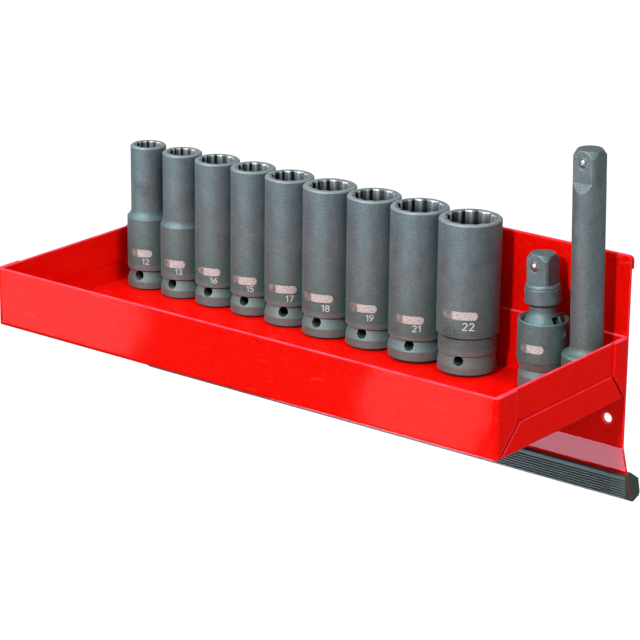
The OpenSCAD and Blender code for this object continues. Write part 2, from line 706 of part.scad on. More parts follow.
// Turned outline of the bar: drive end, cone with a fillet into the shank, shank
module bar_blank() {
    centre_r = shank_d / 2 + bar_fillet;
    low_r = bar_end_d / 2;
    neck_z = bar_end_h + bar_cone_h;
    cone_r = centre_r - bar_fillet / 2;
    top = bar_len - bar_plug_len;
    rotate_extrude() difference() {
        polygon(concat(
            drive_end(low_r, drive_chamfer, bar_foot_h, low_r, groove_in, bar_groove_top),
            [[low_r, bar_end_h], [cone_r, neck_z - bar_fillet / 2], [cone_r, neck_z],
             [shank_d / 2, neck_z], [shank_d / 2, top], [0, top]]));
        translate([centre_r, neck_z]) circle(bar_fillet);
    }
}

module extension_bar() color(steel_grey) at_bar() difference() {
    union() {
        bar_blank();
        plug_blank(bar_len - bar_plug_len - run_out, bar_len);
    }
    translate([0, 0, bar_len - bar_plug_len]) plug_flats(bar_plug_len, run_out);
    drive_recess(bar_cross_high);
    at_detent(bar_len - ball_below, 0) detent_hole();
}

module bar_detent_ball() color(bright_steel) at_bar()
    at_detent(bar_len - ball_below, 0) detent_ball();

module bar_detent_spring() color(bright_steel) at_bar()
    at_detent(bar_len - ball_below, 0) detent_spring();

tray();
back_plate();
edge_strip();
socket(0);  // socket_12
socket(1);  // socket_13
socket(2);  // socket_16
socket(3);  // socket_15
socket(4);  // socket_17
socket(5);  // socket_18
socket(6);  // socket_19
socket(7);  // socket_21
socket(8);  // socket_22
joint_cup();
joint_cross_pin();
joint_drive_head();
joint_detent_ball();
joint_detent_spring();
extension_bar();
bar_detent_ball();
bar_detent_spring();
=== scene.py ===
"""Looks of the wall shelf tray and its impact socket set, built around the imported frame. Lengths in metres."""

import json
import math
from collections import namedtuple
from functools import cached_property

import bmesh
import bpy
from mathutils import Matrix, Vector, geometry

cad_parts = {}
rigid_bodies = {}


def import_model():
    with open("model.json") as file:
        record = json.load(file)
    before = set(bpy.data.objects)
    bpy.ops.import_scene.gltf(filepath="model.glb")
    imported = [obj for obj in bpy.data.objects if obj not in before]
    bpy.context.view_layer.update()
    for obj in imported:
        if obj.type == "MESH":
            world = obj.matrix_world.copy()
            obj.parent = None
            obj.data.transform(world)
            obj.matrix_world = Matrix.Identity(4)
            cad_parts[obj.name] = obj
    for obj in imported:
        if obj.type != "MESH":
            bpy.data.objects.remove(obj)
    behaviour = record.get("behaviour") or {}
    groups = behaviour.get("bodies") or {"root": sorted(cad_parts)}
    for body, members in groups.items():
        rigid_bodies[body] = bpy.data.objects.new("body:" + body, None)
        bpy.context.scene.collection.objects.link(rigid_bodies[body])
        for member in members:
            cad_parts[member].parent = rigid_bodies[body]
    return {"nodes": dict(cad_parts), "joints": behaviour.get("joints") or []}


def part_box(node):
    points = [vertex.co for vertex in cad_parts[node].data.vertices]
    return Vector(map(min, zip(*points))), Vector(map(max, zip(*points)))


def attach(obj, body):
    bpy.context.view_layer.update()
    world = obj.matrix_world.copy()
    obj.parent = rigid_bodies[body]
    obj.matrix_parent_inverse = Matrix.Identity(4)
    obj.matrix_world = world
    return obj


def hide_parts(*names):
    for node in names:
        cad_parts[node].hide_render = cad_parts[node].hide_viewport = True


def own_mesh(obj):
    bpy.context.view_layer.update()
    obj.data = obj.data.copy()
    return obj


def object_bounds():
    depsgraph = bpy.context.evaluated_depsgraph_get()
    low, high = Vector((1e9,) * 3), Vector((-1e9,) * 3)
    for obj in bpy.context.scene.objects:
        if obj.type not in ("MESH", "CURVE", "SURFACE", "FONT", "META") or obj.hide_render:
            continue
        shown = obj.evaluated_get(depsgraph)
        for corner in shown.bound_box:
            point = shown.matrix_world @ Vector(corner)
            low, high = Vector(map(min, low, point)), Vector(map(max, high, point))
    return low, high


MM = 0.001
WHITE = (1, 1, 1, 1)

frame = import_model()
cad_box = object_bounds()
nodes = frame["nodes"]
scene = bpy.context.scene


def outward(azimuth, elevation):
    """The direction of an azimuth (0 in front, 90 degrees at the right) and elevation, both in radians."""
    level = math.cos(elevation)
    return Vector((math.sin(azimuth) * level, -math.cos(azimuth) * level, math.sin(elevation)))


def cover(mesh, material):
    mesh.materials.clear()
    mesh.materials.append(material)


def add_object(name, mesh, material):
    """A new object of one material, at the origin."""
    cover(mesh, material)
    made = bpy.data.objects.new(name, mesh)
    scene.collection.objects.link(made)
    return made


# Camera, from the vanishing lines of the tray and the places of its corners in the photograph. FRONT_MIDDLE, a point
# of the tray's front wall, lies DISTANCE away, and ASIDE to the right of and ALOFT over the lens's axis, in mm.

AZIMUTH, ELEVATION, ROLL = math.radians(37.577), math.radians(18.508), math.radians(0.574)
DISTANCE, ASIDE, ALOFT = 1354.055, -43.327, -34.823
LENS_PIXELS, FRAME_PIXELS, SENSOR = 2733.357, 640, 36
FRONT_MIDDLE = Vector((1.5, -115.7, 13))
NEAREST, FARTHEST = 0.05, 50


def make_camera():
    back = outward(AZIMUTH, ELEVATION)
    level = Vector((math.cos(AZIMUTH), math.sin(AZIMUTH), 0))
    upright = back.cross(level)
    right = math.cos(ROLL) * level + math.sin(ROLL) * upright
    up = math.cos(ROLL) * upright - math.sin(ROLL) * level
    data = bpy.data.cameras.new("camera")
    data.sensor_width = SENSOR
    data.lens = LENS_PIXELS * SENSOR / FRAME_PIXELS
    data.clip_start, data.clip_end = NEAREST, FARTHEST
    camera = bpy.data.objects.new("camera", data)
    place = back * DISTANCE - right * ASIDE - up * ALOFT + FRONT_MIDDLE
    camera.matrix_world = Matrix.Translation(place * MM) @ Matrix((right, up, back)).transposed().to_4x4()
    scene.collection.objects.link(camera)
    scene.camera = camera


# Shader graphs

def rgb(red, green, blue):
    """Linear colour of an 8-bit sRGB one."""
    shares = [value / 255 for value in (red, green, blue)]
    return tuple(v / 12.92 if v < 0.0404 else ((v + 0.055) / 1.055) ** 2.4 for v in shares) + (1,)


class Graph:
    """The node tree of a new material or world, with short calls for the nodes that the finishes below share."""

    def __init__(self, owner):
        self.owner = owner
        owner.use_nodes = True
        self.tree = owner.node_tree
        self.tree.nodes.clear()

    @cached_property
    def place(self):
        """A point in the object's own frame."""
        return self.add("ShaderNodeTexCoord").outputs["Object"]

    @cached_property
    def facing(self):
        """The surface's direction in the object's own frame."""
        return self.add("ShaderNodeTexCoord").outputs["Normal"]

    def add(self, kind, *values, **settings):
        """A node whose inputs take values in order; a value None leaves its input alone."""
        made = self.tree.nodes.new(kind)
        for key, value in settings.items():
            setattr(made, key, value)
        for socket, value in zip(made.inputs, values):
            self.put(socket, value)
        return made

    def put(self, socket, value):
        if isinstance(value, bpy.types.NodeSocket):
            self.tree.links.new(value, socket)
        elif value is not None:
            socket.default_value = value

    def put_named(self, made, **values):
        """Fills a node's inputs by their names, with _ for each space."""
        for name, value in values.items():
            self.put(made.inputs[name.replace("_", " ")], value)
        return made

    def math(self, operation, a, b=None, c=None, clamp=False):
        return self.add("ShaderNodeMath", a, b, c, operation=operation, use_clamp=clamp).outputs[0]

    def times(self, a, b):
        return self.math("MULTIPLY", a, b)

    def plus(self, a, b):
        return self.math("ADD", a, b)

    def minus(self, a, b):
        return self.math("SUBTRACT", a, b)

    def length(self, a, b):
        """Distance of a point of a plane from the origin."""
        return self.math("SQRT", self.plus(self.math("POWER", a, 2.0), self.math("POWER", b, 2.0)))

    def dot(self, a, b):
        return self.add("ShaderNodeVectorMath", a, b, operation="DOT_PRODUCT").outputs["Value"]

    def axes(self, vector):
        return self.add("ShaderNodeSeparateXYZ", vector).outputs

    def joined(self, x, y, z):
        return self.add("ShaderNodeCombineXYZ", x, y, z).outputs[0]

    def stretched(self, where, scale, turn=None):
        """Coordinates turned and then scaled along each axis, for noise that isn't the same all ways."""
        return self.add("ShaderNodeMapping", where, None, turn, scale).outputs[0]

    def noise(self, where, scale, detail=2.0, roughness=0.5, distortion=0.0):
        return self.put_named(self.add("ShaderNodeTexNoise"), Vector=where, Scale=scale, Detail=detail,
                              Roughness=roughness, Distortion=distortion).outputs["Fac"]

    def ramp(self, value, low, high, to_low=0.0, to_high=1.0):
        return self.add("ShaderNodeMapRange", value, low, high, to_low, to_high, clamp=True).outputs[0]

    def mix(self, share, a, b):
        made = self.add("ShaderNodeMix", data_type="RGBA")
        for socket, value in ((made.inputs[0], share), (made.inputs[6], a), (made.inputs[7], b)):
            self.put(socket, value)
        return made.outputs[2]

    def bump(self, height, distance, strength, normal=None):
        return self.put_named(self.add("ShaderNodeBump"), Height=height, Distance=distance, Strength=strength,
                              Normal=normal).outputs["Normal"]

    def rounded(self, radius):
        """The surface's direction as if its edges were rounded."""
        return self.add("ShaderNodeBevel", radius, samples=6).outputs["Normal"]

    def edges(self, radius, low, high):
        """1 on sharp edges, falling to 0 a radius away from them."""
        flat = self.add("ShaderNodeNewGeometry").outputs["Normal"]
        return self.ramp(self.minus(1.0, self.dot(self.rounded(radius), flat)), low, high)

    def crevice(self, reach):
        """1 deep in a piece's own grooves and inner corners, 0 on its open faces."""
        shut = self.add("ShaderNodeAmbientOcclusion", None, reach, samples=6, only_local=True).outputs["AO"]
        return self.ramp(shut, 0.45, 0.85, 1.0, 0.0)

    def finish(self, **sockets):
        """The material itself, with its shader's inputs."""
        shader = self.put_named(self.add("ShaderNodeBsdfPrincipled"), **sockets)
        self.add("ShaderNodeOutputMaterial", shader.outputs[0])
        return self.owner


def surface(name):
    return Graph(bpy.data.materials.new(name))


# Red enamel

# Distance of the plate's screw holes from its middle, and their radius
HOLE_ASIDE, HOLE_RADIUS = 148.5 * MM, 2.5 * MM


def paint(name, highlight_zone, no_painted_light_zone=None):
    """Glossy red enamel with orange peel and faint scuffs, a painted pale pink highlight along its edges and rims,
    painted shade in its creases and inner corners, and steel showing in small chips. The first call gives the share of
    painted highlight along a node's own rims or holes, and the second, if given, the share of faces that get neither
    the painted highlight nor the painted shade."""
    g = surface(name)
    cloudy = g.noise(g.place, 14, 3)
    peel = g.noise(g.place, 420)
    swell = g.noise(g.place, 95)
    fine = g.noise(g.place, 2600)
    mottle = g.noise(g.place, 1100, 3, 0.65)
    scuffed = g.ramp(g.noise(g.stretched(g.place, (60, 900, 420), (0.5, 0.2, 0.8)), 1.0, 3, 0.6), 0.63, 0.72)
    edge_highlight = g.math("MAXIMUM", g.edges(0.7 * MM, 0.01, 0.14), highlight_zone(g))
    crevice_shade = g.crevice(1.3 * MM)
    # Faces in the second call's zone get neither the painted highlight nor the painted shade
    if no_painted_light_zone is not None:
        painted_light_share = g.minus(1.0, no_painted_light_zone(g))
        edge_highlight, crevice_shade = g.times(edge_highlight, painted_light_share), g.times(crevice_shade, painted_light_share)
    edge_highlight = g.times(edge_highlight, g.minus(1.0, crevice_shade))
    chips = g.times(g.edges(0.5 * MM, 0.02, 0.2), g.ramp(g.noise(g.place, 520, 4, 0.7), 0.63, 0.68))
    red = g.mix(cloudy, rgb(229, 2, 3), rgb(218, 1, 3))
    red = g.mix(g.ramp(mottle, 0.42, 0.68, 0.0, 0.30), red, rgb(240, 52, 18))
    red = g.mix(g.times(scuffed, 0.10), red, rgb(255, 120, 110))
    # Painted highlight: pale pink along the edges, the rims and the burrs round the holes
    red = g.mix(g.times(edge_highlight, g.ramp(swell, 0.35, 0.65, 0.35, 0.75)), red, rgb(255, 96, 120))
    # Painted shade: a darker red deep in creases and inner corners
    red = g.mix(g.times(crevice_shade, 0.75), red, rgb(92, 6, 8))
    colour = g.mix(chips, red, rgb(96, 88, 86))
    rough = g.plus(g.ramp(cloudy, 0.3, 0.7, 0.24, 0.34), g.times(scuffed, 0.18))
    height = g.plus(g.plus(peel, g.times(swell, 2.6)), g.times(fine, 0.10))
    normal = g.bump(height, 0.04 * MM, 0.6, g.rounded(0.35 * MM))
    return g.finish(Base_Color=colour, Roughness=rough, Normal=normal, Coat_Weight=0.10, Coat_Roughness=0.06,
                    Coat_IOR=1.5, Coat_Normal=normal, Specular_IOR_Level=0.0)


def tray_rim_highlight(g):
    """Share of painted pink highlight on the rolled rims, and on the folds along the foot of the outer walls."""
    low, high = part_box("tray")
    x, y, z = g.axes(g.place)
    rim = g.ramp(z, high.z - 1.0 * MM, high.z - 0.4 * MM)
    bend = g.ramp(z, low.z + 1.1 * MM, low.z + 0.5 * MM)
    outer = g.math("MAXIMUM", g.ramp(y, low.y + 1.3 * MM, low.y + 0.9 * MM),
                   g.ramp(g.math("ABSOLUTE", x), high.x - 1.3 * MM, high.x - 0.9 * MM))
    return g.math("MAXIMUM", rim, g.times(bend, outer))


def tray_inside(g):
    """The inner faces of the walls below their rims, which face the tray's middle."""
    low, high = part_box("tray")
    from_middle = g.add("ShaderNodeVectorMath", g.place, tuple((low + high) / 2), operation="SUBTRACT").outputs[0]
    level = g.add("ShaderNodeVectorMath", from_middle, (1, 1, 0), operation="MULTIPLY").outputs[0]
    below = g.ramp(g.axes(g.place)[2], high.z - 1.0 * MM, high.z - 1.6 * MM)
    return g.times(g.ramp(g.dot(level, g.facing), -10 * MM, -30 * MM), below)


def plate_rim_highlight(g):
    """Share of painted pink highlight on the hem's crest, and on the punched burr round each screw hole."""
    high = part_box("back_plate")[1]
    x, _, z = g.axes(g.place)
    crest = g.ramp(z, high.z - 0.7 * MM, high.z - 0.2 * MM, 0.0, 0.7)
    away = g.length(g.minus(g.math("ABSOLUTE", x), HOLE_ASIDE), z)
    burr = g.ramp(g.math("ABSOLUTE", g.minus(away, HOLE_RADIUS + 0.4 * MM)), 0.7 * MM, 0.2 * MM)
    return g.math("MAXIMUM", crest, burr)


# Steel and rubber

# Linear tints, and heights over a tool's foot: the paler foot's own, and the fade from an olive tint to a bluer one
STEEL_TINT, BAR_TINT = (0.129, 0.199, 0.218), (0.150, 0.192, 0.206)
FOOT_HEIGHT, OLIVE_LOW, OLIVE_HIGH = 14 * MM, 20 * MM, 46 * MM
# Where a socket's broach-cut opening begins, its play beyond the wrench size, and the way that the flats with the most
# painted light face
MOUTH_FLOOR, MOUTH_PLAY, BEST_LIT = 55 * MM, 0.1 * MM, (-0.26, -0.966, 0.0)

# A broach-cut opening: radius over its points, and heights of its lowest part and of its rim
Mouth = namedtuple("Mouth", "radius floor rim")
# A patch of scratches: angle and height of its middle, its own radius, and that of the body it is on
Scar = namedtuple("Scar", "turn height radius body")

SCARS = {"socket_12": Scar(math.radians(-72), 57 * MM, 5.2 * MM, 9.5 * MM),
         "socket_22": Scar(math.radians(-88), 23 * MM, 6 * MM, 16 * MM)}


def around(g, axis):
    """A turned part's own coordinates, with the angle, radius and height round its axis."""
    own = g.add("ShaderNodeMapping", g.place, axis, vector_type="TEXTURE").outputs[0]
    x, y, z = g.axes(own)
    return own, g.math("ARCTAN2", y, x), g.length(x, y), z


def scratches(g, own, angle, height, scar):
    """A round patch of fine crossing scratches."""
    lines = g.noise(g.stretched(own, (500, 500, 900), (0.3, 0.2, 0.5)), 1.0, 3, 0.7, 1.5)
    lines = g.ramp(g.math("ABSOLUTE", g.minus(lines, 0.5)), 0.05, 0.015)
    away = g.length(g.times(g.minus(angle, scar.turn), scar.body), g.minus(height, scar.height))
    return g.times(lines, g.ramp(away, scar.radius, scar.radius * 0.6))


def opened(g, tone, stain, radius, height, mouth):
    """Tone with painted light and shade in the broach-cut opening: painted shade on its flats, deepest far down,
    painted light on the flats that face BEST_LIT, and painted highlights on the ridges between its points and on the
    rim's face.
    Gives also the share of bare metal."""
    lead = g.ramp(height, mouth.rim - 0.6 * MM, mouth.rim, 0.0, 0.6 * MM)
    reach = g.minus(radius, lead)
    bare = g.ramp(reach, mouth.radius + 0.2 * MM, mouth.radius + 0.05 * MM)
    lit = g.ramp(g.dot(g.facing, BEST_LIT), 0.35, 0.95)
    deep = g.ramp(height, mouth.rim - 8 * MM, mouth.rim - 1.5 * MM)
    ridge = g.times(g.ramp(reach, mouth.radius * 0.93, mouth.radius * 0.905), deep)
    # Painted light and shade in the opening: dark flats, paler towards BEST_LIT and near the rim, bright ridges
    mouth_light_and_shade = g.mix(g.times(lit, deep), rgb(12, 16, 19), rgb(176, 188, 194))
    mouth_light_and_shade = g.mix(g.times(ridge, 0.7), mouth_light_and_shade, rgb(232, 238, 240))
    inside = g.times(bare, g.ramp(height, mouth.floor, mouth.floor + 2 * MM, 0.0, 0.95))
    tone = g.mix(inside, tone, mouth_light_and_shade)
    # Painted highlight on the rim's upward face
    face = g.times(g.ramp(g.axes(g.facing)[2], 0.4, 0.9),
                   g.ramp(height, mouth.rim - 1.5 * MM, mouth.rim - 0.7 * MM))
    return g.mix(g.times(face, g.ramp(stain, 0.3, 0.7, 0.35, 0.6)), tone, rgb(196, 204, 208)), bare


def steel(name, axis, tint=STEEL_TINT, light=1.0, mouth=None, scar=None):
    """Dark phosphated steel with lathe marks, cloudy stain, edges pale with wear and a painted highlight, a few rub
    marks, painted shade in its grooves and on faces that turn downwards, and painted light and shade in a socket's
    opening.
    """
    def tinted(*shares):
        return tuple(v * light * k for v, k in zip(tint, shares)) + (1,)

    g = surface(name)
    own, angle, radius, height = around(g, axis)
    turned = g.noise(g.joined(g.times(angle, 0.7), g.times(radius, 9000.0), g.times(height, 9000.0)), 1.0, 3, 0.6)
    bands = g.noise(g.joined(g.times(angle, 3.0), None, g.times(height, 1300.0)), 1.0, 3)
    stain = g.noise(own, 120, 5, 0.62, 0.3)
    grain = g.noise(own, 2400, 3, 0.7)
    rub = g.ramp(g.noise(g.stretched(own, (160, 160, 26)), 1.0, 5, 0.65), 0.56, 0.72)
    tone = g.mix(g.ramp(stain, 0.3, 0.7), tinted(0.82, 0.82, 0.82), tinted(1.22, 1.22, 1.22))
    tone = g.mix(g.ramp(height, OLIVE_LOW, OLIVE_HIGH, 1.0, 0.0), tone, tinted(0.74, 1.12, 0.96))
    tone = g.mix(g.ramp(height, FOOT_HEIGHT + 1 * MM, FOOT_HEIGHT, 0.0, 0.20), tone, rgb(168, 174, 178))
    tone = g.mix(g.times(g.ramp(bands, 0.4, 0.7), 0.19), tone, rgb(150, 164, 170))
    tone = g.mix(g.times(g.ramp(grain, 0.45, 0.7), 0.22), tone, rgb(44, 56, 60))
    tone = g.mix(g.times(g.ramp(grain, 0.52, 0.36), 0.14), tone, rgb(200, 210, 212))
    tone = g.mix(g.times(rub, 0.14), tone, rgb(170, 182, 186))
    if scar is not None:
        tone = g.mix(g.times(scratches(g, own, angle, height, scar), 0.8), tone, rgb(52, 60, 64))
    # Edges pale with wear, lightened further as a painted highlight, most of all round the mouth's rim
    wear_and_glint = g.times(g.edges(0.45 * MM, 0.01, 0.16), g.ramp(g.noise(own, 380, 3, 0.6), 0.38, 0.6, 0.3, 0.8))
    if mouth is not None:
        rim = g.ramp(height, mouth.rim - 1.6 * MM, mouth.rim - 1.0 * MM)
        wear_and_glint = g.times(wear_and_glint, g.math("MULTIPLY_ADD", rim, 0.7, 0.55))
    tone = g.mix(wear_and_glint, tone, rgb(216, 226, 230))
    # Painted shade: faces that turn downwards are darkened
    tone = g.mix(g.ramp(g.axes(g.facing)[2], -0.3, -0.9, 0.0, 0.85), tone, rgb(14, 34, 34))
    rough = g.plus(g.ramp(stain, 0.3, 0.7, 0.54, 0.64), g.times(grain, 0.08))
    if mouth is not None:
        tone, bare = opened(g, tone, stain, radius, height, mouth)
        rough = g.minus(rough, g.times(bare, 0.24))
    # Painted shade deep in the grooves and inner corners
    tone = g.mix(g.times(g.crevice(1.1 * MM), 0.7), tone, rgb(16, 22, 24))
    rough = g.minus(rough, g.times(wear_and_glint, 0.16))
    relief = g.plus(g.times(turned, 0.5), g.times(grain, 0.9))
    normal = g.bump(relief, 0.014 * MM, 0.55, g.rounded(0.25 * MM))
    return g.finish(Base_Color=tone, Metallic=0.78, Roughness=rough, Normal=normal)


def chrome():
    g = surface("bright_steel")
    haze = g.noise(g.place, 900, 4, 0.6)
    colour = g.mix(haze, rgb(178, 184, 190), rgb(132, 140, 148))
    normal = g.bump(g.noise(g.place, 2200), 0.004 * MM, 0.4)
    return g.finish(Base_Color=colour, Metallic=0.9, Roughness=g.ramp(haze, 0.3, 0.7, 0.16, 0.26), Normal=normal)


def rubber():
    """Extruded rubber: drawn lines along its length, dusty bloom and a fine dull grain."""
    g = surface("grey_rubber")
    drawn = g.noise(g.stretched(g.place, (18, 3200, 3200)), 1.0, 3, 0.6)
    bloom = g.noise(g.place, 55, 5, 0.6)
    grain = g.noise(g.place, 3800)
    colour = g.mix(g.ramp(bloom, 0.35, 0.7), rgb(38, 54, 47), rgb(54, 74, 65))
    colour = g.mix(g.times(g.ramp(drawn, 0.5, 0.8), 0.35), colour, rgb(84, 104, 94))
    colour = g.mix(g.times(g.edges(0.5 * MM, 0.02, 0.3), 0.5), colour, rgb(108, 128, 118))
    normal = g.bump(g.plus(drawn, g.times(grain, 0.6)), 0.03 * MM, 0.5, g.rounded(0.3 * MM))
    return g.finish(Base_Color=colour, Roughness=g.ramp(bloom, 0.3, 0.7, 0.52, 0.7), Normal=normal,
                    Specular_IOR_Level=0.2)


def etched(name, pale, speckle, shade):
    """Laser-marked skin: pale, speckled by the dark steel under it, and dimmer at its left third."""
    g = surface(name)
    across = g.axes(g.add("ShaderNodeUVMap", uv_map="mark").outputs[0])[0]
    speck = g.noise(g.place, 1700, 4, 0.7)
    cloud = g.noise(g.place, 420, 3)
    dim = g.times(g.ramp(across, 0.30, 0.36, 1.0, 0.0), g.ramp(cloud, 0.35, 0.6, 0.6, 1.0))
    colour = g.mix(dim, g.mix(g.ramp(speck, 0.42, 0.66), pale, speckle), shade)
    normal = g.bump(speck, 0.01 * MM, 0.6)
    return g.finish(Base_Color=colour, Roughness=g.ramp(cloud, 0.3, 0.7, 0.5, 0.7), Metallic=0.25, Normal=normal)


# Etched marks: a stadium and a plain size number, wrapped round the socket's body. Lengths in mm.

# Heights of a skin's outer and inner face over the steel, width of its flat facets, and the closest two points may be
MARK_PROUD, MARK_SUNK, MARK_STEP, MARK_MERGED = 0.03, -0.02, 0.8, 0.0002
PILL_HEIGHT, PILL_STEPS = 4.2, 16

# Size, middle angle in degrees, pill length and height on the body, number height on the body and its own height
MARKS = [
    ("12", -72, 12.5, 21.2, 16.6, 3.3), ("13", -76, 13.4, 19.9, 15.8, 3.2), ("16", -77, 14.1, 20.4, 15.9, 3.2),
    ("15", -78, 15.4, 20.3, 16.2, 3.3), ("17", -71, 17.0, 21.4, 16.5, 3.6), ("18", -81, 18.2, 22.6, 17.5, 3.7),
    ("19", -77, 16.0, 23.0, 18.2, 3.4), ("21", -74, 16.6, 23.7, 19.4, 3.6), ("22", -73, 19.6, 33.1, 27.7, 4.2),
]
JOINT_MIDDLE, JOINT_LENGTH, JOINT_HIGH = -85, 13.4, 22.7
# Distance of a number's right end from its pill's, and the radius of a body that is slimmer than its node's box
NUMBER_INSET, BODY_RADIUS = 1.9, {"21": 15.0}


def arc(x, y, across, up, first, last, steps=14):
    turns = [math.radians(first + (last - first) * k / steps) for k in range(steps + 1)]
    return [(x + across * math.cos(turn), y + up * math.sin(turn)) for turn in turns]


# Centre lines of plain digits, one unit high: width and strokes; then the strokes' own width, the gap between two
# digits, how much wider than drawn they come out, and the angles of a stroke's round end
SIX = [arc(0.27, 0.29, 0.27, 0.29, 0, 360, 22),
       [(0.46, 1.0), (0.30, 0.83), (0.14, 0.62), (0.04, 0.44), (0.0, 0.29)]]
DIGITS = {
    "1": (0.24, [[(0.0, 0.80), (0.24, 1.0)], [(0.24, 1.0), (0.24, 0.0)]]),
    "2": (0.54, [arc(0.27, 0.73, 0.26, 0.27, 160, -38) + [(0.02, 0.03)], [(0.0, 0.0), (0.54, 0.0)]]),
    "3": (0.52, [arc(0.25, 0.75, 0.24, 0.25, 140, -90), arc(0.25, 0.25, 0.27, 0.25, 90, -140)]),
    "5": (0.54, [[(0.50, 1.0), (0.09, 1.0), (0.05, 0.56)], arc(0.26, 0.31, 0.28, 0.31, 135, -140)]),
    "6": (0.54, SIX),
    "7": (0.52, [[(0.0, 1.0), (0.52, 1.0)], [(0.52, 1.0), (0.17, 0.0)]]),
    "8": (0.54, [arc(0.27, 0.76, 0.23, 0.24, 0, 360, 20), arc(0.27, 0.27, 0.27, 0.27, 0, 360, 22)]),
    "9": (0.54, [[(0.54 - x, 1.0 - y) for x, y in line] for line in SIX]),
}
STROKE, DIGIT_GAP, DIGIT_WIDE = 0.14, 0.31, 1.1
ROUND_END = [math.radians(v) for v in (-90, -45, 0, 45, 90)]


def stadium(length, height):
    """Flat mesh of a pill shape round the origin."""
    r = height / 2
    points = []
    for side in (1, -1):
        for k in range(PILL_STEPS + 1):
            a = math.pi * (k / PILL_STEPS - 0.5)
            points.append((side * (length / 2 - r + r * math.cos(a)), side * r * math.sin(a), 0))
    mesh = bpy.data.meshes.new("stadium")
    mesh.from_pydata(points, [], [range(len(points))])
    return mesh


def stroke(a, b, at):
    """Outline of a straight stroke with round ends, moved along by at."""
    along = (b - a).normalized() * (STROKE / 2)
    aside = Vector((-along.y, along.x))
    outline = [a - along * math.cos(t) - aside * math.sin(t) for t in ROUND_END]
    outline += [b + along * math.cos(t) + aside * math.sin(t) for t in ROUND_END]
    return [Vector((p.x + at, p.y)) for p in outline]


def number(text, height):
    """Flat mesh of a number, its right end at x = 0 and its middle at y = 0, all strokes of one width and merged."""
    points, outlines, at = [], [], 0.0
    for digit in text:
        width, lines = DIGITS[digit]
        for line in lines:
            line = [Vector(p) for p in line]
            for a, b in zip(line, line[1:]):
                outline = stroke(a, b, at)
                outlines.append(list(range(len(points), len(points) + len(outline))))
                points += outline
        at += width + DIGIT_GAP
    right, scale = at - DIGIT_GAP, height / (1 + STROKE)
    merged, _, cells, _, _, strokes = geometry.delaunay_2d_cdt(points, [], outlines, 0, 1e-4)
    cells = [cell for cell, under in zip(cells, strokes) if under]
    used = sorted({k for cell in cells for k in cell})
    renamed = {k: i for i, k in enumerate(used)}
    corners = [((merged[k].x - right) * scale * DIGIT_WIDE, (merged[k].y - 0.5) * scale, 0) for k in used]
    mesh = bpy.data.meshes.new("number")
    mesh.from_pydata(corners, [], [[renamed[k] for k in cell] for cell in cells])
    return mesh


def wrapped(name, flat, axis, radius, turn, high, body, material):
    """Closes a flat outline mesh (x along, y up) into a skin a few hundredths of a mm deep, bent round an upright
    axis. Its layers and its edge are made face by face and face outwards: extrude_face_region gives its faces another
    order each run, and recalc_face_normals turns some of so shallow a skin inside out."""
    b = bmesh.new()
    b.from_mesh(flat)
    xs = [v.co.x for v in b.verts]
    left, right = min(xs), max(xs)
    cut = left + MARK_STEP
    while cut < right:
        whole = b.verts[:] + b.edges[:] + b.faces[:]
        bmesh.ops.bisect_plane(b, geom=whole, plane_co=(cut, 0, 0), plane_no=(1, 0, 0))
        cut += MARK_STEP
    bmesh.ops.remove_doubles(b, verts=b.verts[:], dist=MARK_MERGED)
    bmesh.ops.triangulate(b, faces=[f for f in b.faces if len(f.verts) > 4])
    b.normal_update()
    for f in b.faces:
        if f.normal.z > 0:
            f.normal_flip()
    rim = [(e.link_loops[0].vert, e.link_loops[0].link_loop_next.vert) for e in b.edges if e.is_boundary]
    inner, outer = b.faces[:], {v: b.verts.new(v.co) for v in b.verts[:]}
    for f in inner:
        b.faces.new([outer[v] for v in reversed(f.verts[:])])
    for first, second in rim:
        b.faces.new((second, first, outer[first], outer[second]))
    raised = set(outer.values())
    layer = b.loops.layers.uv.new("mark")
    for f in b.faces:
        for loop in f.loops:
            loop[layer].uv = ((loop.vert.co.x - left) / (right - left), loop.vert.co.y / 10)
    for v in b.verts:
        r = radius + (MARK_PROUD if v in raised else MARK_SUNK)
        angle = turn + v.co.x / radius
        v.co = Vector((axis[0] + r * math.cos(angle), axis[1] + r * math.sin(angle), axis[2] + high + v.co.y)) * MM
    mesh = bpy.data.meshes.new(name)
    b.to_mesh(mesh)
    b.free()
    piece = add_object(name, mesh, material)
    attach(piece, body)


def own_axis(node):
    """Foot of an upright node's axis, and the node's radius, in metres."""
    low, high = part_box(node)
    return Vector(((low.x + high.x) / 2, (low.y + high.y) / 2, low.z)), (high.y - low.y) / 2


def add_marks(pill, digits):
    for size, middle, length, pill_high, number_high, height in MARKS:
        axis, radius = own_axis("socket_" + size)
        place, radius, turn = tuple(axis / MM), BODY_RADIUS.get(size, radius / MM), math.radians(middle)
        right = turn + (length / 2 - NUMBER_INSET) / radius
        body = "loose_" + size
        wrapped("mark_" + size, stadium(length, PILL_HEIGHT), place, radius, turn, pill_high, body, pill)
        wrapped("number_" + size, number(size, height), place, radius, right, number_high, body, digits)
    axis, radius = own_axis("joint_cup")
    wrapped("mark_joint", stadium(JOINT_LENGTH, PILL_HEIGHT), tuple(axis / MM), radius / MM,
            math.radians(JOINT_MIDDLE), JOINT_HIGH, "cup", pill)


def add_springs(material):
    """Each detent's coil as a copy of its own, riding on the body that the ball's joint hangs from, in place of the
    CAD node.
    """
    for node, detent in (("joint_detent_spring", "joint_detent"), ("bar_detent_spring", "bar_detent")):
        joint = next(j for j in frame["joints"] if j["name"] == detent)
        piece = add_object(node + "_coil", nodes[node].data.copy(), material)
        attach(piece, joint["parent"])
        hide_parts(node)
        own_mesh(piece)


# Finishes of the CAD nodes

def dress(node, material):
    cover(nodes[node].data, material)


def dress_steel(node, **settings):
    dress(node, steel("steel_" + node, tuple(own_axis(node)[0]), **settings))


